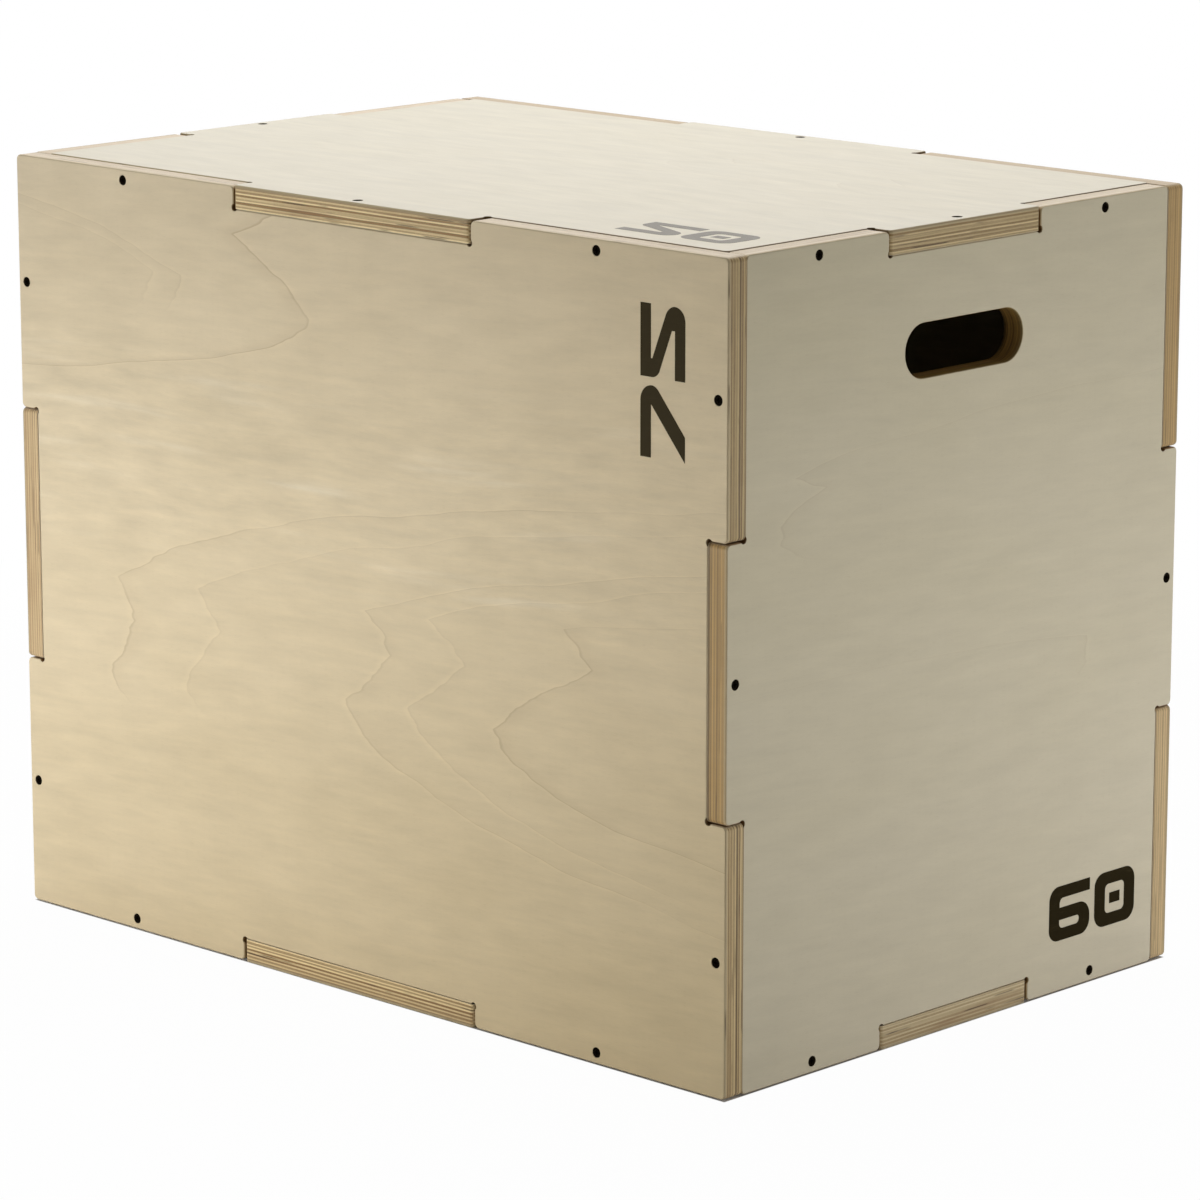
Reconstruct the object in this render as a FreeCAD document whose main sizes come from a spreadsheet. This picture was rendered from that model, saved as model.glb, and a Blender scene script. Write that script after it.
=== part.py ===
"""Jump box: six finger-jointed plywood panels held together by screws.

Frame: +Z up, X along the longest side, front face at -Y, origin at the middle of the underside.
Lengths are in millimetres. Each panel is drawn on the plane of its outer face, whose normal
points out of the box, with the middle of the face at the panel's own origin.
"""

import FreeCAD, Part
import os
import Sketcher

# Driving dimensions: alias, value, meaning
DRIVING_SIZES = (
    ("box_width", "750", "outside size along X"),
    ("box_depth", "500", "outside size along Y"),
    ("box_height", "600", "outside size along Z"),
    ("panel_thickness", "18", "plywood thickness"),
    ("tab_along_width", "250", "length of the tabs on edges that run along X"),
    ("tab_along_depth", "166", "length of the tabs on edges that run along Y"),
    ("tab_along_height", "200", "length of the tabs on edges that run along Z"),
    ("tab_end_clearance", "0.5", "gap between each end of a tab and its notch"),
    ("tab_seat_clearance", "0.2", "gap between a tab and the floor of its notch"),
    ("relief_radius", "3", "cutter radius of the reliefs in inside corners"),
    ("relief_inset", "1.25", "relief centre, in from both walls of its corner"),
    ("deck_proud", "0.8", "outer faces of top and bottom, beyond the edges of the walls"),
    ("corner_radius", "4", "rounding of the panels' outside corners"),
    ("edge_round", "1.2", "rounding of the outline on each outer face"),
    ("slot_length", "130", "hand slot, along Y"),
    ("slot_height", "40", "hand slot, along Z"),
    ("slot_drop", "90", "hand slot centre, below the top of the box"),
    ("slot_round", "0.8", "rounding of both rims of the hand slot"),
    ("screw_length", "50", "screw, head included"),
    ("screw_thread", "4.5", "screw thread, outside diameter"),
    ("tip_length", "6", "pointed end of the screw"),
    ("tip_flat", "1", "diameter at the very end of the screw"),
    ("head_diameter", "7.7", "countersunk screw head"),
    ("head_rim", "0.5", "straight rim of the screw head, above its cone"),
    ("head_angle", "90", "whole angle of the head's cone, in degrees"),
    ("head_sink", "0.4", "screw head, below the panel's outer face"),
    ("head_clearance", "0.15", "gap round the rim of the screw head"),
    ("drive_span", "4", "cross recess in the screw head, from end to end of its arms"),
    ("drive_arm", "1.1", "width of an arm of the cross recess"),
    ("drive_depth", "1.4", "cross recess in the screw head"),
    ("shank_clearance", "0.1", "gap round the thread in the panel under the head"),
    ("pilot_spare", "2", "pilot hole beyond the screw's tip"),
)

# Sizes that follow from the driving ones
DERIVED_SIZES = (
    ("half_width", "=box_width / 2", "box, middle to outside along X"),
    ("half_depth", "=box_depth / 2", "box, middle to outside along Y"),
    ("half_height", "=box_height / 2", "box, middle to outside along Z"),
    ("wall_end", "=half_height - deck_proud", "middle of a wall to its upper edge"),
    ("inner_x", "=half_width - panel_thickness", "box, middle to the inside along X"),
    ("inner_y", "=half_depth - panel_thickness", "box, middle to the inside along Y"),
    ("floor_x", "=inner_x - tab_seat_clearance", "middle to the floor of a notch along X"),
    ("floor_z", "=half_height - panel_thickness - tab_seat_clearance", "the same along Z"),
    ("tab_x", "=tab_along_width / 2", "middle of a tab to its end"),
    ("tab_y", "=tab_along_depth / 2", "middle of a tab to its end"),
    ("tab_z", "=tab_along_height / 2", "middle of a tab to its end"),
    ("notch_x", "=tab_x + tab_end_clearance", "middle of a notch to its end"),
    ("notch_y", "=tab_y + tab_end_clearance", "middle of a notch to its end"),
    ("notch_z", "=tab_z + tab_end_clearance", "middle of a notch to its end"),
    ("half_sheet", "=panel_thickness / 2", "outer face to the middle of the plywood"),
    ("line_x", "=half_width - half_sheet", "middle to the screws of an edge, along X"),
    ("line_y", "=half_depth - half_sheet", "middle to the screws of an edge, along Y"),
    ("line_z", "=half_height - half_sheet", "middle to the screws of an edge, along Z"),
    ("finger_x", "=(half_width + tab_x) / 2", "middle to the screw of an outer finger"),
    ("finger_y", "=(inner_y + tab_y) / 2", "middle to the screw of an outer finger"),
    ("finger_z", "=(half_height + tab_z) / 2", "middle to the screw of an outer finger"),
    ("cone_slope", "=tan(head_angle / 2)", "spread of the head's cone for each unit of its height"),
    ("head_height", "=head_rim + (head_diameter - screw_thread) / 2 / cone_slope", "screw head"),
    ("head_hole", "=head_diameter + 2 * head_clearance", "recess for the screw head"),
    ("recess_depth", "=head_sink + head_rim - head_clearance / cone_slope", "outer face to the seat's cone"),
    ("shank_hole", "=screw_thread + 2 * shank_clearance", "hole under the screw head"),
    ("pilot_end", "=head_sink + screw_length + pilot_spare", "outer face to the pilot's end"),
    ("edge_pilot", "=pilot_end - panel_thickness", "pilot depth in the edge of a panel"),
    ("notch_pilot", "=edge_pilot - tab_seat_clearance", "pilot depth in the floor of a notch"),
    ("slot_level", "=half_height - slot_drop", "middle of the panel to the hand slot"),
    ("slot_end", "=(slot_length - slot_height) / 2", "middle of the slot to its end's centre"),
    ("slot_radius", "=slot_height / 2", "round end of the hand slot"),
)

NEAR = 1e-3
X_AXIS = FreeCAD.Vector(1, 0, 0)
Y_AXIS = FreeCAD.Vector(0, 1, 0)
Z_AXIS = FreeCAD.Vector(0, 0, 1)

doc = FreeCAD.newDocument("jump_box")
sheet = doc.addObject("Spreadsheet::Sheet", "Sizes")
for row, (alias, content, meaning) in enumerate(DRIVING_SIZES + DERIVED_SIZES, start=1):
    sheet.set(f"A{row}", meaning)
    sheet.set(f"B{row}", content)
    sheet.setAlias(f"B{row}", alias)
doc.recompute()


# Sketches bound to the sheet

def size(expression):
    """Number that an expression on the sheet has now."""
    return float(sheet.evalExpression(expression))


def point(x, y):
    """Point of a sketch, from two expressions on the sheet."""
    return FreeCAD.Vector(size(x), size(y), 0)


def origin_plane(body, role):
    """Origin plane of a body, by its role."""
    return next(item for item in body.Origin.OriginFeatures if item.Role == role)


def add_sketch(body, name, role, distance="0"):
    """Sketch parallel to an origin plane of its body, at a distance along the plane's normal."""
    sketch = body.newObject("Sketcher::SketchObject", name)
    sketch.AttachmentSupport = [(origin_plane(body, role), "")]
    sketch.MapMode = "FlatFace"
    sketch.setExpression("AttachmentOffset.Base.z", distance)
    return sketch


def bind(sketch, name, expression, kind, *elements):
    """Named dimension of a sketch that follows an expression on the sheet."""
    index = sketch.addConstraint(Sketcher.Constraint(kind, *elements, size(expression)))
    sketch.renameConstraint(index, name)
    sketch.setExpression(f"Constraints.{name}", expression)


def bind_point(sketch, name, place, element, vertex):
    """Tie a point of a sketch to a place given by two expressions."""
    bind(sketch, f"{name}_across", place[0], "DistanceX", -1, 1, element, vertex)
    bind(sketch, f"{name}_up", place[1], "DistanceY", -1, 1, element, vertex)


def draw_outline(sketch, places):
    """Closed outline of straight lines from place to place."""
    corners = [point(*place) for place in places]
    following = list(range(1, len(corners))) + [0]
    for index, corner in enumerate(corners):
        sketch.addGeometry(Part.LineSegment(corner, corners[following[index]]), False)
    for index, place in enumerate(places):
        sketch.addConstraint(Sketcher.Constraint("Coincident", index, 2, following[index], 1))
        bind_point(sketch, f"corner{index}", place, index, 1)


def draw_circles(sketch, places, radius):
    """Circles of one radius, centred on the places."""
    for index, place in enumerate(places):
        sketch.addGeometry(Part.Circle(point(*place), Z_AXIS, size(radius)), False)
        bind_point(sketch, f"centre{index}", place, index, 3)
        bind(sketch, f"radius{index}", radius, "Radius", index)


def both_ways(across, up):
    """A place and its mirror images across both axes of a sketch."""
    return [(f"{left}({across})", f"{down}({up})") for left in ("", "-") for down in ("", "-")]


def all_round(quarter):
    """Whole outline of a panel from the quarter between the upper and the right axis."""
    turns = (("", "", 1), ("", "-", -1), ("-", "-", 1), ("-", "", -1))
    return [
        (f"{left}{across}", f"{down}{up}")
        for left, down, order in turns
        for across, up in quarter[::order]
    ]


# Features of a panel

def expect_less(feature, before):
    """Stop if a cutting feature took nothing off the solid."""
    doc.recompute()
    if feature.Shape.Volume > before - NEAR:
        raise RuntimeError(f"{feature.Name} cuts nothing")


def cut(body, sketch, name, depth=None):
    """Pocket behind a sketch, of a depth given by an expression, or right through."""
    doc.recompute()
    before = body.Shape.Volume
    pocket = body.newObject("PartDesign::Pocket", name)
    pocket.Profile = sketch
    if depth:
        pocket.setExpression("Length", depth)
    else:
        pocket.Type = "ThroughAll"
    expect_less(pocket, before)
    return pocket


def round_edges(body, name, radius, chosen):
    """Fillet on those edges of a body's last feature for which a test holds."""
    doc.recompute()
    base = body.Tip
    edges = [f"Edge{index}" for index, edge in enumerate(base.Shape.Edges, start=1) if chosen(edge)]
    fillet = body.newObject("PartDesign::Fillet", name)
    fillet.Base = (base, edges)
    fillet.setExpression("Radius", radius)
    doc.recompute()


def cut_sheet(body, role, outline, inside, reliefs):
    """Panel with rounded outside corners, relieved inside corners and an eased outer face."""
    sketch = add_sketch(body, "outline", role)
    draw_outline(sketch, outline)
    pad = body.newObject("PartDesign::Pad", "plywood")
    pad.Profile = sketch
    pad.Reversed = True
    pad.setExpression("Length", "Sizes.panel_thickness")
    doc.recompute()
    normal = sketch.Placement.Rotation.multVec(Z_AXIS)
    inner = [point(*place) for place in inside]
    outer = [
        sketch.Placement.multVec(corner)
        for corner in (point(*place) for place in outline)
        if all(corner.distanceToPoint(other) > NEAR for other in inner)
    ]

    def at_outside_corner(edge):
        """Whether an edge runs straight through the plywood at an outside corner."""
        start = edge.Vertexes[0].Point
        finish = edge.Vertexes[-1].Point
        straight_through = (finish - start).cross(normal).Length < NEAR
        return straight_through and any((start - corner).cross(normal).Length < NEAR for corner in outer)

    def on_outer_face(edge):
        """Whether an edge lies in the outer face."""
        return all(abs(vertex.Point.dot(normal)) < NEAR for vertex in edge.Vertexes)

    round_edges(body, "rounded_corners", "Sizes.corner_radius", at_outside_corner)
    round_edges(body, "eased_outline", "Sizes.edge_round", on_outer_face)
    centres = add_sketch(body, "relief_centres", role)
    draw_circles(centres, reliefs, "Sizes.relief_radius")
    cut(body, centres, "reliefs")


def drill_screw_holes(body, role, places):
    """Holes right through a panel, with a conical seat in a recess for each screw head."""
    sketch = add_sketch(body, "screw_centres", role)
    draw_circles(sketch, places, "Sizes.shank_hole / 2")
    doc.recompute()
    before = body.Shape.Volume
    hole = body.newObject("PartDesign::Hole", "screw_holes")
    hole.Profile = sketch
    doc.recompute()
    hole.ThreadType = "None"
    hole.DepthType = "ThroughAll"
    hole.HoleCutType = "Counterdrill"
    hole.HoleCutCustomValues = True
    hole.setExpression("Diameter", "Sizes.shank_hole")
    hole.setExpression("HoleCutDiameter", "Sizes.head_hole")
    hole.setExpression("HoleCutDepth", "Sizes.recess_depth")
    hole.setExpression("HoleCutCountersinkAngle", "Sizes.head_angle")
    expect_less(hole, before)


def drill_pilots(body, name, role, edge, depth, places):
    """Pilot holes into an edge of a panel that faces along an origin plane's normal, and
    their mirror images in the edge across from it."""
    sketch = add_sketch(body, f"{name}_centres", role, edge)
    draw_circles(sketch, places, "Sizes.screw_thread / 2")
    pocket = cut(body, sketch, name, depth)
    mirrored = body.newObject("PartDesign::Mirrored", f"{name}_across")
    mirrored.Originals = [pocket]
    mirrored.MirrorPlane = (origin_plane(body, role), [""])
    body.Tip = mirrored
    expect_less(mirrored, pocket.Shape.Volume)


# The three kinds of panel

def add_body(label, turn=FreeCAD.Rotation(), **place):
    """Body with a label, turned, and set at a place given by expressions."""
    body = doc.addObject("PartDesign::Body", label)
    body.Label = label
    body.Placement = FreeCAD.Placement(FreeCAD.Vector(), turn)
    for axis, expression in place.items():
        body.setExpression(f"Placement.Base.{axis}", expression)
    return body


def build_broad_panel(label, turn, y):
    """Front or back: the panel that owns the box's corners, with a notch in every edge."""
    body = add_body(label, turn, y=y, z="Sizes.half_height")
    upper = ("Sizes.notch_x", "Sizes.floor_z")
    side = ("Sizes.floor_x", "Sizes.notch_z")
    quarter = [
        upper,
        ("Sizes.notch_x", "Sizes.wall_end"),
        ("Sizes.half_width", "Sizes.wall_end"),
        ("Sizes.half_width", "Sizes.notch_z"),
        side,
    ]
    cut_sheet(
        body, "XZ_Plane", all_round(quarter),
        both_ways(*upper) + both_ways(*side),
        both_ways("Sizes.notch_x - Sizes.relief_inset", "Sizes.floor_z + Sizes.relief_inset")
        + both_ways("Sizes.floor_x + Sizes.relief_inset", "Sizes.notch_z - Sizes.relief_inset"),
    )
    drill_screw_holes(
        body, "XZ_Plane",
        both_ways("Sizes.finger_x", "Sizes.line_z") + both_ways("Sizes.line_x", "Sizes.finger_z"),
    )
    depth = "Sizes.notch_pilot"
    drill_pilots(body, "upright_pilots", "XY_Plane", "Sizes.floor_z", depth, [("0", "Sizes.half_sheet")])
    drill_pilots(body, "cross_pilots", "YZ_Plane", "Sizes.floor_x", depth, [("Sizes.half_sheet", "0")])
    return body


def build_end_panel(label, turn, x):
    """Left or right: notched above and below, tabbed at front and back, with a hand slot."""
    body = add_body(label, turn, x=x, z="Sizes.half_height")
    upper = ("Sizes.notch_y", "Sizes.floor_z")
    side = ("Sizes.inner_y", "Sizes.tab_z")
    quarter = [
        upper,
        ("Sizes.notch_y", "Sizes.wall_end"),
        ("Sizes.inner_y", "Sizes.wall_end"),
        side,
        ("Sizes.half_depth", "Sizes.tab_z"),
    ]
    cut_sheet(
        body, "YZ_Plane", all_round(quarter),
        both_ways(*upper) + both_ways(*side),
        both_ways("Sizes.notch_y - Sizes.relief_inset", "Sizes.floor_z + Sizes.relief_inset")
        + both_ways("Sizes.inner_y + Sizes.relief_inset", "Sizes.tab_z + Sizes.relief_inset"),
    )
    cut_hand_slot(body)
    drill_screw_holes(
        body, "YZ_Plane",
        both_ways("Sizes.finger_y", "Sizes.line_z") + [("Sizes.line_y", "0"), ("-Sizes.line_y", "0")],
    )
    drill_pilots(
        body, "upright_pilots", "XY_Plane", "Sizes.floor_z", "Sizes.notch_pilot",
        [("-Sizes.half_sheet", "0")],
    )
    drill_pilots(
        body, "forward_pilots", "XZ_Plane", "Sizes.inner_y", "Sizes.edge_pilot",
        [("-Sizes.half_sheet", "Sizes.finger_z"), ("-Sizes.half_sheet", "-Sizes.finger_z")],
    )
    return body


def cut_hand_slot(body):
    """Round-ended slot for a hand, with both rims rounded."""
    sketch = add_sketch(body, "hand_slot_outline", "YZ_Plane")
    right = point("Sizes.slot_end", "Sizes.slot_level")
    left = point("-Sizes.slot_end", "Sizes.slot_level")
    up = Y_AXIS * size("Sizes.slot_radius")
    out = X_AXIS * size("Sizes.slot_radius")
    sketch.addGeometry(Part.LineSegment(left + up, right + up), False)
    sketch.addGeometry(Part.Arc(right - up, right + out, right + up), False)
    sketch.addGeometry(Part.LineSegment(right - up, left - up), False)
    sketch.addGeometry(Part.Arc(left + up, left - out, left - up), False)
    for line, line_end, arc, arc_end in ((0, 2, 1, 2), (2, 1, 1, 1), (2, 2, 3, 2), (0, 1, 3, 1)):
        sketch.addConstraint(Sketcher.Constraint("Tangent", line, line_end, arc, arc_end))
    bind_point(sketch, "right_end", ("Sizes.slot_end", "Sizes.slot_level"), 1, 3)
    bind_point(sketch, "left_end", ("-Sizes.slot_end", "Sizes.slot_level"), 3, 3)
    bind(sketch, "end_radius", "Sizes.slot_radius", "Radius", 1)
    cut(body, sketch, "hand_slot")
    middle = FreeCAD.Vector(0, 0, size("Sizes.slot_level"))
    reach = size("Sizes.slot_length / 2")

    def on_rim(edge):
        """Whether an edge is one of the slot's, in the plane of either face."""
        ends = [vertex.Point - middle for vertex in edge.Vertexes]
        close = all(abs(end.y) < reach and abs(end.z) < reach for end in ends)
        return close and abs(ends[0].x - ends[-1].x) < NEAR

    round_edges(body, "slot_rims", "Sizes.slot_round", on_rim)


def build_deck_panel(label, turn, z):
    """Top or bottom: the panel between the other four, with a tab on every edge."""
    body = add_body(label, turn, z=z)
    upper = ("Sizes.tab_x", "Sizes.inner_y")
    side = ("Sizes.inner_x", "Sizes.tab_y")
    quarter = [
        ("Sizes.tab_x", "Sizes.half_depth"),
        upper,
        ("Sizes.inner_x", "Sizes.inner_y"),
        side,
        ("Sizes.half_width", "Sizes.tab_y"),
    ]
    cut_sheet(
        body, "XY_Plane", all_round(quarter),
        both_ways(*upper) + both_ways(*side),
        both_ways("Sizes.tab_x + Sizes.relief_inset", "Sizes.inner_y + Sizes.relief_inset")
        + both_ways("Sizes.inner_x + Sizes.relief_inset", "Sizes.tab_y + Sizes.relief_inset"),
    )
    drill_screw_holes(
        body, "XY_Plane",
        [("0", "Sizes.line_y"), ("0", "-Sizes.line_y"), ("Sizes.line_x", "0"), ("-Sizes.line_x", "0")],
    )
    depth = "Sizes.edge_pilot"
    drill_pilots(
        body, "forward_pilots", "XZ_Plane", "Sizes.inner_y", depth,
        [("Sizes.finger_x", "-Sizes.half_sheet"), ("-Sizes.finger_x", "-Sizes.half_sheet")],
    )
    drill_pilots(
        body, "cross_pilots", "YZ_Plane", "Sizes.inner_x", depth,
        [("Sizes.finger_y", "-Sizes.half_sheet"), ("-Sizes.finger_y", "-Sizes.half_sheet")],
    )
    return body


# Screws

def build_screw():
    """Pattern of all the screws: head upwards, with the top of the head at the origin."""
    body = add_body("screw_pattern")
    profile = add_sketch(body, "profile", "XZ_Plane")
    head, thread, tip = "Sizes.head_diameter / 2", "Sizes.screw_thread / 2", "Sizes.tip_flat / 2"
    draw_outline(profile, [
        ("0", "0"),
        (head, "0"),
        (head, "-Sizes.head_rim"),
        (thread, "-Sizes.head_height"),
        (thread, "Sizes.tip_length - Sizes.screw_length"),
        (tip, "-Sizes.screw_length"),
        ("0", "-Sizes.screw_length"),
    ])
    turned = body.newObject("PartDesign::Revolution", "turned")
    turned.Profile = profile
    turned.ReferenceAxis = (profile, ["V_Axis"])
    cross = add_sketch(body, "drive_outline", "XY_Plane")
    side, end = "Sizes.drive_arm / 2", "Sizes.drive_span / 2"
    draw_outline(cross, all_round([(side, end), (side, side), (end, side)]))
    cut(body, cross, "drive", "Sizes.drive_depth")
    return body


def drive_screws(screw, label, inwards, places):
    """Group of copies of a screw, driven along one direction, with their heads at the places."""
    turn = FreeCAD.Rotation(-Z_AXIS, inwards)
    copies = []
    for index, place in enumerate(places):
        copy = doc.addObject("App::Link", f"{label}_{index}")
        copy.LinkedObject = screw
        copy.Placement = FreeCAD.Placement(FreeCAD.Vector(), turn)
        for axis, expression in zip("xyz", place):
            copy.setExpression(f"Placement.Base.{axis}", expression)
        copies.append(copy)
    group = doc.addObject("Part::Compound", label)
    group.Label = label
    group.Links = copies
    return group


def drive_all_screws(screw):
    """Three screws on each of the box's twelve edges, grouped by the two panels they join."""
    groups = []
    decks = (("top", "Sizes.half_height + Sizes.line_z"), ("bottom", "Sizes.half_sheet"))
    fingers = ("Sizes.half_height + Sizes.finger_z", "Sizes.half_height - Sizes.finger_z")
    broad = (("front", "-", Y_AXIS), ("back", "", -Y_AXIS))
    ends = (("left", "-", X_AXIS), ("right", "", -X_AXIS))
    sunk_deck = (
        ("top", "Sizes.box_height - Sizes.head_sink", -Z_AXIS),
        ("bottom", "Sizes.head_sink", Z_AXIS),
    )
    for name, side, inwards in broad:
        y = f"{side}(Sizes.half_depth - Sizes.head_sink)"
        for deck, z in decks:
            places = [("Sizes.finger_x", y, z), ("-Sizes.finger_x", y, z)]
            groups.append(drive_screws(screw, f"screws_{name}_into_{deck}", inwards, places))
        for end, end_side, _ in ends:
            places = [(f"{end_side}Sizes.line_x", y, z) for z in fingers]
            groups.append(drive_screws(screw, f"screws_{name}_into_{end}", inwards, places))
    for name, side, inwards in ends:
        x = f"{side}(Sizes.half_width - Sizes.head_sink)"
        for deck, z in decks:
            places = [(x, "Sizes.finger_y", z), (x, "-Sizes.finger_y", z)]
            groups.append(drive_screws(screw, f"screws_{name}_into_{deck}", inwards, places))
        for panel, panel_side, _ in broad:
            place = (x, f"{panel_side}Sizes.line_y", "Sizes.half_height")
            groups.append(drive_screws(screw, f"screw_{name}_into_{panel}", inwards, [place]))
    for name, z, inwards in sunk_deck:
        for panel, side, _ in broad:
            place = ("0", f"{side}Sizes.line_y", z)
            groups.append(drive_screws(screw, f"screw_{name}_into_{panel}", inwards, [place]))
        for panel, side, _ in ends:
            place = (f"{side}Sizes.line_x", "0", z)
            groups.append(drive_screws(screw, f"screw_{name}_into_{panel}", inwards, [place]))
    return groups


# The whole box

def check_document(sub_parts):
    """Stop if any object of the document failed, or a sub-part has no valid shape."""
    doc.recompute()
    for item in doc.Objects:
        if {"Invalid", "Error"} & set(item.State):
            raise RuntimeError(f"{item.Label} failed: {item.State}")
    for item in sub_parts:
        if item.Shape.isNull() or not item.Shape.isValid():
            raise RuntimeError(f"{item.Label} has no valid shape")


half_turn = FreeCAD.Rotation(Z_AXIS, 180)
turned_over = FreeCAD.Rotation(X_AXIS, 180)
as_drawn = FreeCAD.Rotation()
sub_parts = [
    build_broad_panel("front_panel", as_drawn, "-Sizes.half_depth"),
    build_broad_panel("back_panel", half_turn, "Sizes.half_depth"),
    build_end_panel("right_panel", as_drawn, "Sizes.half_width"),
    build_end_panel("left_panel", half_turn, "-Sizes.half_width"),
    build_deck_panel("top_panel", as_drawn, "Sizes.box_height"),
    build_deck_panel("bottom_panel", turned_over, "0"),
]
sub_parts += drive_all_screws(build_screw())
check_document(sub_parts)
os.makedirs("parts", exist_ok=True)
for sub_part in sub_parts:
    sub_part.Shape.exportStep(f"parts/{sub_part.Label}.step")
    print(sub_part.Label, len(sub_part.Shape.Solids), round(sub_part.Shape.Volume, 1))
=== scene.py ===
"""Looks of a plywood jump box: veneered panels, sunk black screws, printed heights and a studio."""

from __future__ import annotations

import logging
import math
from dataclasses import dataclass, field
from enum import Enum
from functools import reduce
from typing import Sequence, Union

import bmesh
import bpy
from mathutils import Matrix, Vector

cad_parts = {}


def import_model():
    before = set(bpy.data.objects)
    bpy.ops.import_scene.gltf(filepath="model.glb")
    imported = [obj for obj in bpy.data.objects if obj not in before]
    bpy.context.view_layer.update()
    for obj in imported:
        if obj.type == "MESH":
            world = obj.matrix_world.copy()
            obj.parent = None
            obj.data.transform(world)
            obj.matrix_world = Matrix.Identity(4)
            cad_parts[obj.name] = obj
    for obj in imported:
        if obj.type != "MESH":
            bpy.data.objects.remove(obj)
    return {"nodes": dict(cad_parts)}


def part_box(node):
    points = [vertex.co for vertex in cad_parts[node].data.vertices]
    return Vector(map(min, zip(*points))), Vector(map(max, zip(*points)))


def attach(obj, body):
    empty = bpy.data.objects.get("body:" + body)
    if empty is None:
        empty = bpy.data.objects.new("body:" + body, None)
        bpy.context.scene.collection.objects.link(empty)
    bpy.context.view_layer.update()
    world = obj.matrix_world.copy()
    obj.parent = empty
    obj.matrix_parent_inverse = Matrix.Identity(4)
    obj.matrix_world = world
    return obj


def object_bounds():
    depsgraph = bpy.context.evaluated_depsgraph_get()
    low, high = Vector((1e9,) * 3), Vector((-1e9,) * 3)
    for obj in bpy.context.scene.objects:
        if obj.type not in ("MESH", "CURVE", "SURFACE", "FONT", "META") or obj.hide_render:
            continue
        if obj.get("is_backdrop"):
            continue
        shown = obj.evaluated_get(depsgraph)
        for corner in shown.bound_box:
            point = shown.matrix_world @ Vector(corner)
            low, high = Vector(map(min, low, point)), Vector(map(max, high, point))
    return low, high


LOG = logging.getLogger("jump_box")
MM = 0.001
BODY = "root"

Colour = tuple[float, float, float, float]
Triple = tuple[float, float, float]
Point = tuple[float, float]
Names = Sequence[str]
Feed = Union[float, Sequence[float], bpy.types.NodeSocket, "Value"]
Feeds = dict[Union[str, int], Feed]
# The two values at which a mask is 0 and 1.
Marks = tuple[float, float]
WHITE: Colour = (1.0, 1.0, 1.0, 1.0)


def tint(red: int, green: int, blue: int) -> Colour:
    """Turn a colour given in screen levels into the linear colour that shaders use.

    Args:
        red: Red level, 0 to 255.
        green: Green level, 0 to 255.
        blue: Blue level, 0 to 255.

    Returns:
        The linear colour with full alpha.
    """

    def linear(level: int) -> float:
        """Undo the screen's tone curve for one level."""
        share = level / 255
        return share / 12.92 if share <= 0.04045 else ((share + 0.055) / 1.055) ** 2.4

    return (linear(red), linear(green), linear(blue), 1.0)


def deselect_all() -> None:
    """Leave no object selected, so that the next operator acts on its own piece only."""
    bpy.ops.object.select_all(action="DESELECT")


class Curve(Enum):
    """How a value rises between two marks."""

    SMOOTH = "SMOOTHSTEP"
    EVEN = "LINEAR"


class Blend(Enum):
    """How a second colour acts on a first."""

    COVER = "MIX"
    CAST = "MULTIPLY"


class Value:
    """A number, vector or colour that a shader works out at each point; numbers take plain arithmetic."""

    def __init__(self, graph: Graph, socket: bpy.types.NodeSocket) -> None:
        """Keep the nodes that the value belongs to and the socket that it comes from."""
        self.graph = graph
        self.socket = socket

    def __add__(self, other: Feed) -> Value:
        """Add a number."""
        return self.graph.math("ADD", self, other)

    def __sub__(self, other: Feed) -> Value:
        """Take a number away."""
        return self.graph.math("SUBTRACT", self, other)

    def __rsub__(self, other: Feed) -> Value:
        """Take this away from a number."""
        return self.graph.math("SUBTRACT", other, self)

    def __mul__(self, other: Feed) -> Value:
        """Multiply by a number."""
        return self.graph.math("MULTIPLY", self, other)

    def __truediv__(self, other: Feed) -> Value:
        """Divide by a number."""
        return self.graph.math("DIVIDE", self, other)

    def __abs__(self) -> Value:
        """Drop the sign."""
        return self.graph.math("ABSOLUTE", self)

    def least(self, other: Feed) -> Value:
        """Give the smaller of this and another number."""
        return self.graph.math("MINIMUM", self, other)

    def most(self, other: Feed) -> Value:
        """Give the larger of this and another number."""
        return self.graph.math("MAXIMUM", self, other)

    def step(self, low: Feed, high: Feed, curve: Curve = Curve.SMOOTH) -> Value:
        """Rise from 0 at the low mark to 1 at the high one, and stay level beyond them."""
        feeds: Feeds = {"Value": self, "From Min": low, "From Max": high}
        return self.graph.value("ShaderNodeMapRange", feeds, interpolation_type=curve.value)

    def parts(self) -> tuple[Value, ...]:
        """Split a vector into its three numbers."""
        made = self.graph.node("ShaderNodeSeparateXYZ", {"Vector": self})
        return tuple(Value(self.graph, socket) for socket in made.outputs)

    def stretch(self, *factors: float) -> Value:
        """Scale a vector by a factor for each axis."""
        return self.graph.value("ShaderNodeVectorMath", {0: self, 1: factors}, operation="MULTIPLY")


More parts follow.
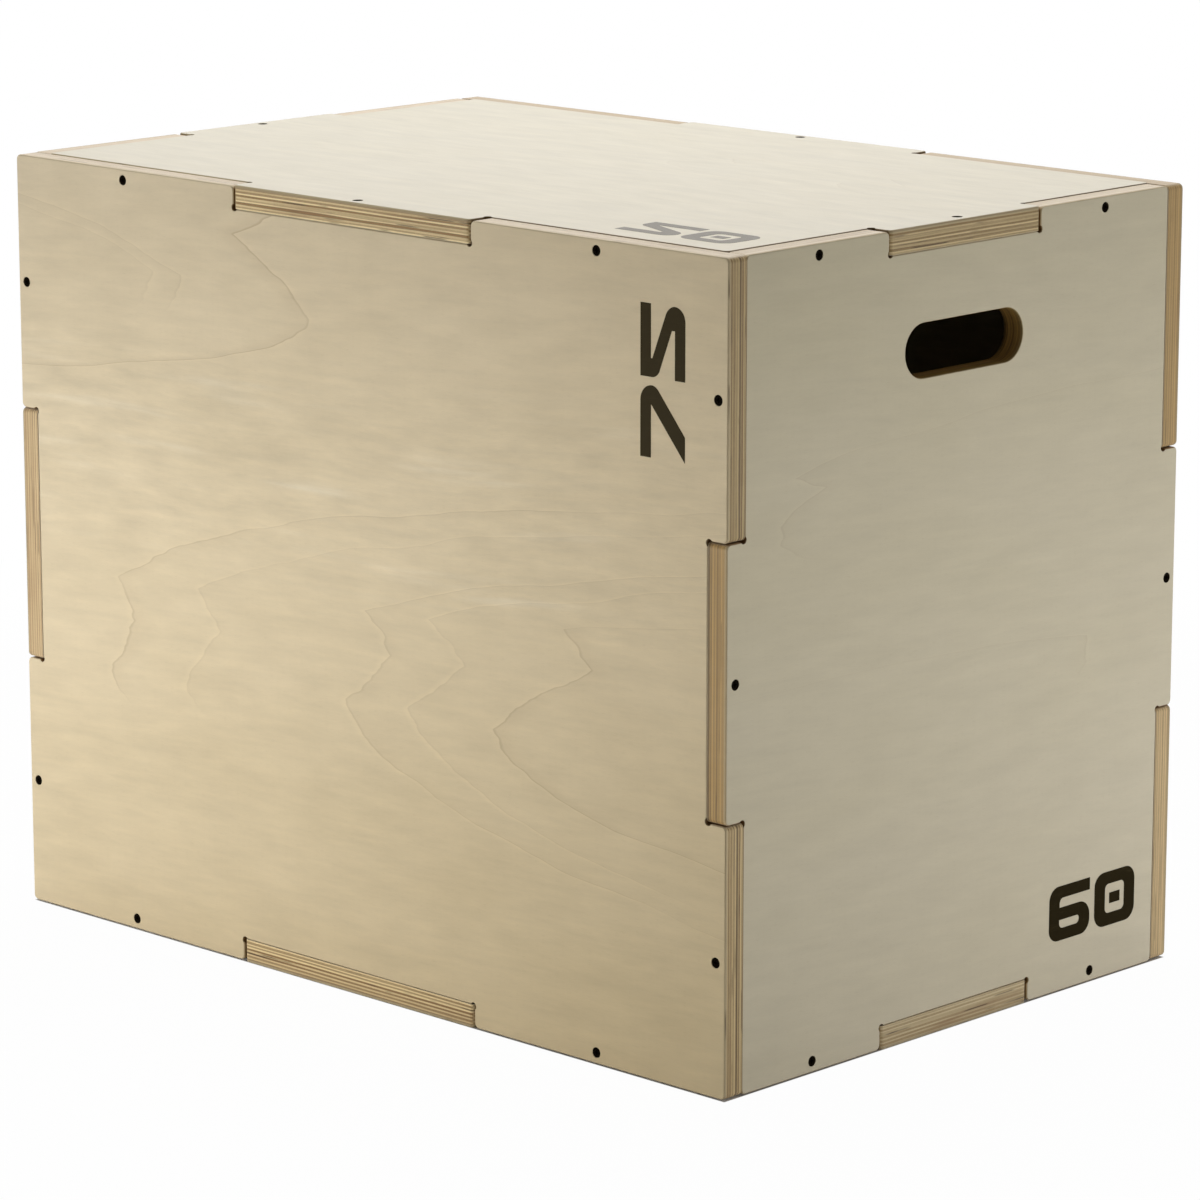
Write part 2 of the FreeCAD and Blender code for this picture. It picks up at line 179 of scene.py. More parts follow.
class Graph:
    """A shader node tree with short calls for the nodes that the finishes are made of."""

    # The Mix node has sockets for each kind of data: these are the ones for colours.
    MIX_FACTOR = 0
    MIX_FIRST = 6
    MIX_SECOND = 7
    MIX_RESULT = 2

    def __init__(self, tree: bpy.types.NodeTree) -> None:
        """Keep the tree that nodes are added to."""
        self.tree = tree

    def feed(self, socket: bpy.types.NodeSocket, value: Feed) -> None:
        """Link a socket to a value, or set its constant.

        Args:
            socket: The input to fill.
            value: What another node puts out, or the constant.
        """
        source = value.socket if isinstance(value, Value) else value
        if isinstance(source, bpy.types.NodeSocket):
            self.tree.links.new(source, socket)
        else:
            socket.default_value = source

    def node(self, kind: str, feeds: Feeds, **settings: object) -> bpy.types.Node:
        """Add one node.

        Args:
            kind: The node's type name.
            feeds: What goes into its inputs, by name or number.
            **settings: Properties of the node.

        Returns:
            The new node.
        """
        made = self.tree.nodes.new(kind)
        for name, value in settings.items():
            setattr(made, name, value)
        for key, value in feeds.items():
            self.feed(made.inputs[key], value)
        return made

    def value(self, kind: str, feeds: Feeds, output: str | int = 0, **settings: object) -> Value:
        """Add one node and give what it puts out."""
        return Value(self, self.node(kind, feeds, **settings).outputs[output])

    def math(self, operation: str, *feeds: Feed, clamp: bool = False) -> Value:
        """Work out a number from others, and hold it between 0 and 1 where it is clamped."""
        return self.value("ShaderNodeMath", dict(enumerate(feeds)), operation=operation, use_clamp=clamp)

    def join(self, *numbers: Feed) -> Value:
        """Make a vector of three numbers."""
        return self.value("ShaderNodeCombineXYZ", dict(enumerate(numbers)))

    def coordinate(self, name: str) -> Value:
        """Read a texture coordinate."""
        return self.value("ShaderNodeTexCoord", {}, name)

    def draw(self, index: Feed, seed: Feed) -> Value:
        """Draw a fixed number between -0.5 and 0.5 for each whole index."""
        feeds: Feeds = {"Vector": self.join(index, seed, 0.0)}
        return self.value("ShaderNodeTexWhiteNoise", feeds, "Value", noise_dimensions="2D") - 0.5

    def mix(self, factor: Feed, first: Feed, second: Feed, blend: Blend = Blend.COVER) -> Value:
        """Mix two colours.

        Args:
            factor: Share of the second colour.
            first: The colour at factor 0.
            second: The colour at factor 1.
            blend: How the second colour acts on the first.

        Returns:
            The mixed colour.
        """
        feeds: Feeds = {self.MIX_FACTOR: factor, self.MIX_FIRST: first, self.MIX_SECOND: second}
        settings = {"data_type": "RGBA", "blend_type": blend.value, "clamp_factor": True}
        return self.value("ShaderNodeMix", feeds, self.MIX_RESULT, **settings)

    def shade(self, colour: Feed, amount: Value) -> Value:
        """Make a colour lighter or darker in proportion: an amount of 0 leaves it as it is."""
        return self.value("ShaderNodeVectorMath", {0: colour, "Scale": amount + 1.0}, operation="SCALE")


@dataclass(frozen=True)
class Grain:
    """Cloud noise: its cells for each metre along, across and through, its finer layers, and its seed."""

    # The noise node keeps near its middle, so its swing is widened.
    SPREAD = 4.0

    along: float
    across: float
    through: float = 0.0
    detail: float = 2.0
    seed: float = 0.0

    def noise(self, place: Value, seed: Feed = 0.0) -> Value:
        """Read the noise.

        Args:
            place: Where it is read.
            seed: What is added to its own seed.

        Returns:
            A number from about -1 to 1.
        """
        cells = place.stretch(self.along, self.across, self.through)
        chosen = seed + self.seed if self.seed else seed
        feeds: Feeds = {"Vector": cells, "W": chosen, "Scale": 1.0, "Detail": self.detail}
        cloud = place.graph.value("ShaderNodeTexNoise", feeds, noise_dimensions="4D")
        return cloud * self.SPREAD - self.SPREAD / 2


class SocketKind(Enum):
    """Kinds of value that pass in and out of a node group."""

    NUMBER = "NodeSocketFloat"
    VECTOR = "NodeSocketVector"


class EffectGroup(Graph):
    """A node group with named inputs and outputs, built once and placed in many materials."""

    def __init__(self, name: str, inputs: Names, outputs: Names, sheet: bool = True) -> None:
        """Make the empty group.

        Args:
            name: The group's name.
            inputs: Names of the numbers that it takes.
            outputs: Names of the numbers that it puts out.
            sheet: Whether it takes sheet coordinates too.
        """
        super().__init__(bpy.data.node_groups.new(name, "ShaderNodeTree"))
        sockets = [("Sheet", "INPUT", SocketKind.VECTOR)] if sheet else []
        sockets += [(title, "INPUT", SocketKind.NUMBER) for title in inputs]
        sockets += [(title, "OUTPUT", SocketKind.NUMBER) for title in outputs]
        for title, way, kind in sockets:
            self.tree.interface.new_socket(name=title, in_out=way, socket_type=kind.value)
        entry = self.tree.nodes.new("NodeGroupInput")
        self.given = {socket.name: Value(self, socket) for socket in entry.outputs}
        self.exit = self.tree.nodes.new("NodeGroupOutput").inputs

    def give(self, name: str, value: Value) -> None:
        """Put a number out of the group."""
        self.feed(self.exit[name], value)

    def place(self, graph: Graph, feeds: Feeds) -> dict[str, Value]:
        """Use the group in a material, and give what it puts out by name."""
        made = graph.node("ShaderNodeGroup", feeds, node_tree=self.tree)
        return {socket.name: Value(graph, socket) for socket in made.outputs}


@dataclass(frozen=True)
class VeneerFibre:
    """The fine structure of a veneer, from broad clouds down to single fibres and pores."""

    drift: Grain = Grain(2.4, 4.5, detail=1.0, seed=13.0)
    drift_reach: float = 7.0 * MM
    cloud: Grain = Grain(5.0, 11.0, detail=3.0)
    mottle: Grain = Grain(17.0, 70.0)
    fleck: Grain = Grain(34.0, 270.0, detail=3.0)
    streak: Grain = Grain(7.0, 150.0, detail=4.0)
    fibre: Grain = Grain(110.0, 2200.0)
    pore: Grain = Grain(150.0, 3600.0, detail=0.0)
    pore_marks: Marks = (0.55, 0.95)
    pale: Grain = Grain(4.5, 75.0, detail=3.0, seed=7.0)
    pale_marks: Marks = (0.15, 1.1)

    def build(self) -> EffectGroup:
        """Make the group, whose grain may run at a slant to the sheet.

        Returns:
            The group, read in sheet coordinates.
        """
        layers = {"Cloud": self.cloud, "Mottle": self.mottle, "Fleck": self.fleck}
        layers |= {"Streak": self.streak, "Fibre": self.fibre}
        group = EffectGroup("Veneer fibre", ("Slant", "Seed"), (*layers, "Pore", "Pale"))
        sheet = group.given["Sheet"]
        seed = group.given["Seed"]
        along, across, depth = sheet.parts()
        across = across + self.drift.noise(sheet, seed) * self.drift_reach
        grain = group.join(along, across - along * group.given["Slant"], depth)
        for name, layer in layers.items():
            group.give(name, layer.noise(grain, seed))
        group.give("Pore", self.pore.noise(grain, seed).step(*self.pore_marks))
        group.give("Pale", self.pale.noise(grain, seed).step(*self.pale_marks))
        return group


@dataclass(frozen=True)
class FlameContours:
    """The contours of a flame with two tips and a notch between them, which wander as wood does."""

    TIPS = ("Tip Along", "Opens", "Low Tip", "Notch", "High Tip")
    SHAPE = TIPS + ("Depth", "Lag", "Low Bow", "High Lean", "Rise")

    drift: Grain = Grain(6.0, 9.0, detail=1.0)
    drift_reach: float = 5.0 * MM
    wobble: Grain = Grain(9.0, 34.0, seed=3.0)
    wobble_reach: float = 9.0 * MM
    ripple: Grain = Grain(40.0, 150.0, detail=1.0, seed=5.0)
    ripple_reach: float = 1.5 * MM
    worn: Grain = Grain(7.0, 14.0, detail=1.0, seed=9.0)
    worn_marks: Marks = (-1.3, 0.1)
    flattening: float = 4.0
    deepening: float = 2.5

    def build(self) -> EffectGroup:
        """Make the group.

        Returns:
            The group: how far inside the outermost contour a point lies, how far below the
            lower tip, and where lines are worn.
        """
        group = EffectGroup("Flame contours", (*self.SHAPE, "Seed"), ("Reach", "Below", "Worn"))
        given = group.given
        sheet = given["Sheet"]
        seed = given["Seed"]
        low_tip = given["Low Tip"]
        high_tip = given["High Tip"]
        along, across, _ = sheet.parts()
        inward = (along - given["Tip Along"]) * given["Opens"]
        across = across + self.drift.noise(sheet, seed) * self.drift_reach - inward * given["Rise"]
        above = (across - high_tip).most(0.0)
        below = (low_tip - across).most(0.0)
        high_arm = above * given["High Lean"] * (inward.most(0.0) * self.flattening + 1.0)
        low_arm = below * below * given["Low Bow"]
        rising = across.step(low_tip, given["Notch"], Curve.EVEN)
        falling = across.step(high_tip, given["Notch"], Curve.EVEN)
        notch = rising.least(falling) * given["Depth"] * (inward * self.deepening + 1.0)
        lag = across.step(low_tip, high_tip, Curve.EVEN) * given["Lag"]
        reach = inward - (high_arm + low_arm) - (notch + lag)
        reach = reach + self.wobble.noise(sheet, seed) * self.wobble_reach
        group.give("Reach", reach + self.ripple.noise(sheet, seed) * self.ripple_reach)
        group.give("Below", below)
        group.give("Worn", self.worn.noise(sheet, seed).step(*self.worn_marks))
        return group


@dataclass(frozen=True)
class FlameLine:
    """One line of a flame: a sharp dark rim that fades inwards, with a pale edge outside it."""

    rim: Marks = (-0.8 * MM, 0.4 * MM)
    sharp: Marks = (0.5 * MM, 3.5 * MM)
    sharp_share: float = 0.70
    soft: Marks = (0.0, 26.0 * MM)
    soft_share: float = 0.30
    pale: Marks = (-9.0 * MM, -1.0 * MM)
    lower_arm: Marks = (5.0 * MM, 35.0 * MM)

    def build(self) -> EffectGroup:
        """Make the group.

        Returns:
            The group, which puts out the dark and the pale share.
        """
        inputs = ("Reach", "Below", "Worn", "Place", "Lower Arm")
        group = EffectGroup("Flame line", inputs, ("Dark", "Pale"), sheet=False)
        given = group.given
        inside = given["Reach"] - given["Place"]
        begun = inside.step(*self.rim)
        sharp = 1.0 - inside.step(*self.sharp)
        soft = 1.0 - inside.step(*self.soft)
        dark = (soft * self.soft_share + sharp * self.sharp_share) * begun
        pale = inside.step(*self.pale) * (1.0 - begun)
        lost = given["Below"].step(*self.lower_arm) * (1.0 - given["Lower Arm"])
        kept = given["Worn"] * (1.0 - lost)
        group.give("Dark", dark * kept)
        group.give("Pale", pale * kept)
        return group


@dataclass(frozen=True)
class PlyEdge:
    """The plies that show on a cut edge, told from the face by depth in the sheet, and their flaws."""

    SIZES = ("Length", "Width", "Thickness")
    INPUTS = SIZES + ("Facing", "Stain Depth", "End Soot", "Side Soot", "Clean", "Seed")
    PLACES = ("Edge", "Cross", "Upper", "Opening", "Skin")
    MARKS = ("Dark", "Glue", "Stain", "Void", "Scorch", "Soot")

    plies: int = 13
    # Where a point lies: depth, facing, and distance in from the outline.
    face: Marks = (0.03 * MM, 0.30 * MM)
    # The outer band of a cut edge, which takes painted shade for the rounded arris over the face veneer's
    # edge.
    skin: Marks = (3.0 * MM, 1.6 * MM)
    cross: Marks = (0.35, 0.85)
    opening: Marks = (32.0 * MM, 40.0 * MM)
    upper: Marks = (-50.0 * MM, 50.0 * MM)
    # How the plies wander and differ in thickness.
    wander: Grain = Grain(12.0, 12.0, 190.0)
    wander_reach: float = 0.28 * MM
    uneven: Grain = Grain(0.0, 0.0, 300.0, detail=0.0, seed=61.0)
    uneven_reach: float = 0.50 * MM
    stain: Marks = (1.6 * MM, 0.7 * MM)
    # How dark the plies are, and where they are torn.
    ply_apart: float = 3.7
    slow: Grain = Grain(9.0, 9.0, 1.0, detail=3.0)
    fine: Grain = Grain(420.0, 420.0, 2600.0, detail=1.0)
    dark_all: float = 0.16
    dark_end_grain: float = 0.60
    dark_ply: float = 0.60
    dark_slow: float = 0.24
    dark_fine: float = 0.10
    void: Grain = Grain(17.0, 17.0, 1.0, seed=31.0)
    void_marks: Marks = (0.42, 0.74)
    void_side: Marks = (0.05, 0.35)
    # Glue lines, in shares of a ply, and burns.
    seam: Marks = (0.02, 0.20)
    seam_apart: float = 5.3
    seam_seed: float = 5.0
    glue: Grain = Grain(6.0, 6.0, 1.0, seed=19.0)
    glue_marks: Marks = (-0.45, 0.75)
    scorch: Grain = Grain(11.0, 11.0, 90.0, seed=47.0)
    scorch_marks: Marks = (0.25, 1.1)
    soot_start: Marks = (1.2 * MM, 3.0 * MM)
    soot_end: Marks = (26.0 * MM, 30.0 * MM)
    clean_fade: float = 60.0 * MM

    def build(self) -> EffectGroup:
        """Make the group.

        Returns:
            The group: where the cut edge is, how dark its plies are, and its flaws.
        """
        group = EffectGroup("Ply edge", self.INPUTS, self.PLACES + self.MARKS)
        given = group.given
        thickness = given["Thickness"]
        along, across, depth = given["Sheet"].parts()
        cross = given["Facing"].step(*self.cross)
        ends = given["Length"] * 0.5 - abs(along)
        sides = given["Width"] * 0.5 - abs(across)
        opening = ends.least(sides).step(*self.opening)
        group.give("Edge", depth.least(thickness - depth).step(*self.face))
        # The hand slots' walls take the darker cross-grain tones as painted shade.
        group.give("Cross", cross.most(opening))
        # Where painted shade darkens the upper half of cross-grain edges.
        group.give("Upper", across.step(*self.upper) * cross)
        group.give("Opening", opening)
        # The outer band of a cut edge: painted shade on the rounded arris over the face veneer's edge.
        group.give("Skin", depth.step(*self.skin))
        level = depth + self.wander.noise(given["Sheet"], given["Seed"]) * self.wander_reach
        level = level + self.uneven.noise(given["Sheet"], given["Seed"]) * self.uneven_reach
        group.give("Stain", abs(level - given["Stain Depth"]).step(*self.stain) * cross)
        level = level / (thickness / self.plies)
        self.add_plies(group, level, cross)
        self.add_seams(group, level)
        self.add_burns(group, ends, sides)
        return group

    def add_plies(self, group: EffectGroup, level: Value, cross: Value) -> None:
        """Give how dark each ply is, end grain most of all, and where it is torn.

        Args:
            group: The group.
            level: Depth in plies.
            cross: Whether the edge cuts across the face's grain.
        """
        sheet = group.given["Sheet"]
        seed = group.given["Seed"]
        along, across, _ = sheet.parts()
        ply = group.math("FLOOR", level)
        odd = group.math("FLOORED_MODULO", ply, 2.0)
        end_grain = odd + cross - odd * cross * 2.0
        run = group.join(along, across, ply * self.ply_apart)
        dark = end_grain * self.dark_end_grain + self.dark_all
        dark = dark + group.draw(ply, seed) * self.dark_ply
        dark = dark + self.slow.noise(run, seed) * self.dark_slow
        fine = self.fine.noise(sheet, seed) * self.dark_fine
        group.give("Dark", group.math("ADD", dark, fine, clamp=True))
        within = group.math("FRACT", level)
        core = within.step(*self.void_side) * (1.0 - within).step(*self.void_side)
        group.give("Void", self.void.noise(run, seed).step(*self.void_marks) * core)

    def add_seams(self, group: EffectGroup, level: Value) -> None:
        """Give the glue lines between the plies, which come and go.

        Args:
            group: The group.
            level: Depth in plies.
        """
        seed = group.given["Seed"]
        along, across, _ = group.given["Sheet"].parts()
        seam = group.math("FLOOR", level + 0.5)
        thin = 1.0 - abs(level - seam).step(*self.seam)
        run = group.join(along, across, seam * self.seam_apart)
        strong = self.glue.noise(run, seed) + group.draw(seam, seed + self.seam_seed)
        group.give("Glue", thin * strong.step(*self.glue_marks))

    def add_burns(self, group: EffectGroup, ends: Value, sides: Value) -> None:
        """Give the cutter's scorch marks, and the soot that it left in the seats of tabs and notches.

        Args:
            group: The group.
            ends: Distance from the nearer end of the sheet's oblong.
            sides: Distance from the nearer side of it.
        """
        given = group.given
        along, _, depth = given["Sheet"].parts()
        reached = ends.least(sides).step(*self.soot_start)
        soot = []
        for distance, start in ((ends, given["End Soot"]), (sides, given["Side Soot"])):
            seat = group.math("SUBTRACT", reached, distance.step(*self.soot_end), clamp=True)
            soot.append(seat * depth.step(start, start * 2.0))
        sooty = along.step(given["Clean"] - self.clean_fade, given["Clean"])
        group.give("Soot", reduce(Value.most, soot) * sooty)
        group.give("Scorch", self.scorch.noise(given["Sheet"], given["Seed"]).step(*self.scorch_marks))


class WoodEffects:
    """The node groups that all six plywood finishes and the printed numbers share."""

    def __init__(self) -> None:
        """Build the groups."""
        self.fibre = VeneerFibre().build()
        self.flame = FlameContours().build()
        self.line = FlameLine().build()
        self.edge = PlyEdge().build()


class Side(Enum):
    """The six panels, each named for the way it faces, with its node's name."""

    FRONT = "front_panel"
    BACK = "back_panel"
    RIGHT = "right_panel"
    LEFT = "left_panel"
    TOP = "top_panel"
    BOTTOM = "bottom_panel"


class Way(Enum):
    """The box's six directions, as axis number and sign."""

    RIGHT = (0, 1.0)
    LEFT = (0, -1.0)
    BACK = (1, 1.0)
    FRONT = (1, -1.0)
    UP = (2, 1.0)
    DOWN = (2, -1.0)

    @property
    def axis(self) -> int:
        """The axis number."""
        return self.value[0]

    @property
    def sign(self) -> float:
        """Which way along the axis."""
        return self.value[1]

    @property
    def vector(self) -> Vector:
        """The direction as a unit vector."""
        return Vector(self.sign if axis == self.axis else 0.0 for axis in range(3))


@dataclass(frozen=True)
class SheetLay:
    """Which way a sheet's face grain runs, which way is up across it, and which way goes into it."""

    along: Way
    across: Way
    inward: Way

    def coordinates(self, graph: Graph, node: str) -> Value:
        """Read where a point lies in its sheet.

        Args:
            graph: The material's nodes.
            node: The panel whose middle and outer face are the zero.

        Returns:
            Distance along and across the grain from the middle, and depth below the outer face.
        """
        low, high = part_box(node)
        middle = (low + high) / 2
        outer = low if self.inward.sign > 0 else high
        zeros = ((self.along, middle), (self.across, middle), (self.inward, outer))
        parts = graph.coordinate("Object").parts()
        return graph.join(*((parts[way.axis] - zero[way.axis]) * way.sign for way, zero in zeros))

    def extent(self, node: str) -> Triple:
        """Give a panel's size along its grain, across it and through the sheet."""
        low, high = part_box(node)
        ways = (self.along, self.across, self.inward)
        return tuple(high[way.axis] - low[way.axis] for way in ways)

    def facing(self, graph: Graph) -> Value:
        """Tell how squarely a surface cuts across the grain: 0 along it, 1 across it."""
        return abs(graph.coordinate("Normal").parts()[self.along.axis])


LAYS: dict[Side, SheetLay] = {
    Side.FRONT: SheetLay(Way.RIGHT, Way.UP, Way.BACK),
    Side.BACK: SheetLay(Way.LEFT, Way.UP, Way.FRONT),
    Side.RIGHT: SheetLay(Way.BACK, Way.UP, Way.LEFT),
    Side.LEFT: SheetLay(Way.FRONT, Way.UP, Way.RIGHT),
    Side.TOP: SheetLay(Way.RIGHT, Way.BACK, Way.DOWN),
    Side.BOTTOM: SheetLay(Way.RIGHT, Way.FRONT, Way.UP),
}


class Opens(float, Enum):
    """Which way along the grain a flame widens."""

    FORWARD = 1.0
    BACKWARD = -1.0


@dataclass(frozen=True)
class Contour:
    """One line of a flame: how far in it lies, how strong it is, and how much of its lower arm shows."""

    place: float
    dark: float = 0.26
    pale: float = 0.03
    lower_arm: float = 1.0


def nest(*places: float, dark: float) -> tuple[Contour, ...]:
    """Give several lines of the same strength, one inside the other."""
    return tuple(Contour(place, dark) for place in places)


@dataclass(frozen=True)
class Flame:
    """A family of nested flame lines on a veneer, placed in metres from the middle of its sheet."""

    tip_along: float
    opens: Opens
    low_tip: float
    notch: float
    high_tip: float
    contours: tuple[Contour, ...]
    depth: float = 25.0 * MM
    lag: float = 20.0 * MM
    low_bow: float = 28.0
    high_lean: float = 2.0
    rise: float = 0.0

    def lines(self, sheet: Value, seed: float, effects: WoodEffects) -> tuple[Value, Value]:
        """Draw the flame's lines.

        Args:
            sheet: Sheet coordinates.
            seed: Which of many irregular flames it is.
            effects: The shared wood groups.

        Returns:
            How much darker and how much paler the veneer is.
        """
        feeds: Feeds = {"Sheet": sheet, "Seed": seed}
        for name in FlameContours.SHAPE:
            feeds[name] = float(getattr(self, name.lower().replace(" ", "_")))
        contours = effects.flame.place(sheet.graph, feeds)
        dark = []
        pale = []
        for contour in self.contours:
            feeds = contours | {"Place": contour.place, "Lower Arm": contour.lower_arm}
            line = effects.line.place(sheet.graph, feeds)
            dark.append(line["Dark"] * contour.dark)
            pale.append(line["Pale"] * contour.pale)
        return reduce(Value.most, dark), reduce(Value.most, pale)


class Surface(Graph):
    """A new material: nodes round its Principled shader."""

    def __init__(self, title: str) -> None:
        """Make the material.

        Args:
            title: The material's name.
        """
        self.material = bpy.data.materials.new(title)
        self.material.use_nodes = True
        super().__init__(self.material.node_tree)
        self.shader = self.tree.nodes["Principled BSDF"]

    def set(self, name: str, value: Feed) -> None:
        """Fill an input of the shader."""
        self.feed(self.shader.inputs[name], value)

    def bump(self, height: Value, strength: float, distance: float) -> None:
        """Bump the surface by a height."""
        feeds: Feeds = {"Height": height, "Strength": strength, "Distance": distance}
        self.set("Normal", self.value("ShaderNodeBump", feeds))


@dataclass(frozen=True)
class PlyTones:
    """The colours of the light and the dark plies on one kind of cut edge."""

    light: Colour
    dark: Colour


# Places that no sheet reaches, for marks that a sheet doesn't have.
UNSTAINED = -1.0
NO_CLEAN_END = -1.0
UNBURNT = 1.0


@dataclass(frozen=True)
class PlywoodFinish:
    """Lacquered plywood of one panel: its veneer's colours and figure, its plies' colours and flaws, and
    the light and shade painted into these colours.
    """

    title: str
    seed: float
    # Colours at the lower and upper part of the face: partly the veneer's own tone, partly painted light
    # and shade.
    upper: Colour
    lower: Colour
    long_edge: PlyTones
    cross_edge: PlyTones
    flames: tuple[Flame, ...]
    # How the grain slants, and how the colours lean along the grain and lift across it, partly as painted
    # light and shade.
    slant: float = 0.0
    lean: float = 0.5
    lift: float = 0.5
    cloud_lean: float = 0.12
    # How lively the grain is, and how calm it stays outside the pale band.
    lively: float = 1.0
    tones: tuple[tuple[str, float], ...] = (
        ("Cloud", 0.030),
        ("Mottle", 0.042),
        ("Fleck", 0.018),
        ("Streak", 0.018),
        ("Fibre", 0.012),
    )
    calm: float = 0.65
    figure: Colour = tint(150, 124, 88)
    pore_share: float = 0.10
    pale: Colour = tint(236, 228, 208)
    pale_share: float = 0.10
    pale_middle: float = 0.0
    pale_reach: float = 1.0
    # The cut edges: painted shade on the upper half of cross-grain edges, on the hand slots' walls and on
    # the rounded arris over the face veneer's edge, and a colour and a share for each flaw.
    upper_cast: Colour = WHITE
    opening_cast: Colour = (0.73, 0.68, 0.52, 1.0)
    skin: Colour = tint(164, 150, 120)
    skin_share: float = 0.75
    scorch: Colour = tint(136, 100, 66)
    scorch_share: float = 0.30
    glue: Colour = tint(104, 74, 48)
    glue_share: float = 0.62
    stain: Colour = tint(84, 62, 36)
    stain_share: float = 0.80
    stain_depth: float = UNSTAINED
    void: Colour = tint(58, 39, 24)
    void_share: float = 0.45
    edge_fibre: float = 0.03
    # Soot in the seats of tabs: how deep it starts, and the end of the sheet that has none.
    soot: Colour = tint(116, 82, 42)
    soot_share: float = 0.85
    end_soot: float = 0.8 * MM
    side_soot: float = 0.8 * MM
    clean: float = NO_CLEAN_END
    # The lacquer, and the relief under it.
    sheen: Colour = (1.0, 0.85, 0.60, 1.0)
    roughness: float = 0.46
    streak_rough: float = 0.03
    edge_rough: float = 0.06
    cloud_rough: float = 0.02
    relief: float = 0.12 * MM
    bump: float = 0.5
    fibre_height: float = 0.10
    pore_depth: float = 0.25
    glue_depth: float = 0.5


class PanelSurface(Surface):
    """The material of one panel: veneer on its broad faces and plies on its cut edges."""

    def __init__(self, side: Side, finish: PlywoodFinish, effects: WoodEffects) -> None:
        """Place the shared effects for the panel's sheet, and make the surface of them.

        Args:
            side: The panel.
            finish: Its colours and figure.
            effects: The shared wood groups.
        """
        super().__init__(finish.title)
        lay = LAYS[side]
        self.finish = finish
        self.effects = effects
        extent = lay.extent(side.value)
        self.length, self.width, _ = extent
        self.sheet = lay.coordinates(self, side.value)
        common: Feeds = {"Sheet": self.sheet, "Seed": finish.seed}
        self.fibre = effects.fibre.place(self, common | {"Slant": finish.slant})
        feeds = common | dict(zip(PlyEdge.SIZES, extent)) | {"Facing": lay.facing(self)}
        feeds |= {"Stain Depth": finish.stain_depth, "Clean": finish.clean}
        feeds |= {"End Soot": finish.end_soot, "Side Soot": finish.side_soot}
        self.edge = effects.edge.place(self, feeds)
        colour = self.mix(self.edge["Edge"], self.face_colour(), self.edge_colour())
        self.set("Base Color", self.mix(self.edge["Soot"] * finish.soot_share, colour, finish.soot))
        self.set("Specular Tint", finish.sheen)
        self.set("Roughness", self.roughness())
        self.bump(self.height(), finish.bump, finish.relief)

    def face_colour(self) -> Value:
        """Colour the veneer of the broad faces.

        Returns:
            The colour, which changes over the sheet, partly as painted light and shade, and follows its
            clouds, flames and pores.
        """
        finish = self.finish
        along, across, _ = self.sheet.parts()
        # Painted light and shade in part: the colour runs from the lower to the upper one across the face
        # and leans along it.
        place = across * (finish.lift / self.width) + 0.5 - along * (finish.lean / self.length)
        place = self.math("ADD", place, self.fibre["Cloud"] * finish.cloud_lean, clamp=True)
        colour = self.mix(place, finish.lower, finish.upper)
        band = abs(across - finish.pale_middle).step(finish.pale_reach, 0.5 * finish.pale_reach)
        colour = self.mix(self.fibre["Pale"] * band * finish.pale_share, colour, finish.pale)
        tones = [self.fibre[part] * (amount * finish.lively) for part, amount in finish.tones]
        tone = reduce(Value.__add__, tones) * (band * (1.0 - finish.calm) + finish.calm)
        for number, flame in enumerate(finish.flames):
            dark, pale = flame.lines(self.sheet, finish.seed + number, self.effects)
            colour = self.mix(dark, colour, finish.figure)
            tone = tone + pale
        return self.mix(self.fibre["Pore"] * finish.pore_share, self.shade(colour, tone), finish.figure)

    def edge_colour(self) -> Value:
        """Colour the plies of a cut edge.

        Returns:
            The colour: light and dark plies, painted shade in some places, and their flaws one over the
                other.
        """
        finish = self.finish
        light = self.mix(self.edge["Cross"], finish.long_edge.light, finish.cross_edge.light)
        dark = self.mix(self.edge["Cross"], finish.long_edge.dark, finish.cross_edge.dark)
        colour = self.mix(self.edge["Dark"], light, dark)
        # Painted shade on the upper half of cross-grain edges.
        colour = self.mix(self.edge["Upper"], colour, finish.upper_cast, Blend.CAST)
        # The first band is painted shade on the rounded arris over the face veneer's edge; the rest are
        # the plies' flaws.
        for mask, share, over in (
            ("Skin", finish.skin_share, finish.skin),
            ("Scorch", finish.scorch_share, finish.scorch),
            ("Glue", finish.glue_share, finish.glue),
            ("Stain", finish.stain_share, finish.stain),
            ("Void", finish.void_share, finish.void),
        ):
            colour = self.mix(self.edge[mask] * share, colour, over)
        # Painted shade on the hand slots' walls.
        colour = self.mix(self.edge["Opening"], colour, finish.opening_cast, Blend.CAST)
        return self.shade(colour, self.fibre["Fibre"] * finish.edge_fibre)

    def roughness(self) -> Value:
        """Vary the lacquer's roughness a little, and leave the cut edges rougher.

        Returns:
            The roughness.
        """
        finish = self.finish
        rough = self.fibre["Streak"] * finish.streak_rough + finish.roughness
        rough = rough + self.edge["Edge"] * finish.edge_rough
        return rough + self.fibre["Cloud"] * finish.cloud_rough

    def height(self) -> Value:
        """Raise fibres on the face and sink glue lines and voids on the edges.

        Returns:
            The height for the bump.
        """
        finish = self.finish
        grain = self.fibre["Fibre"] * finish.fibre_height - self.fibre["Pore"] * finish.pore_depth
        flaw = self.edge["Glue"] * finish.glue_depth + self.edge["Void"]
        return grain - flaw * self.edge["Edge"]


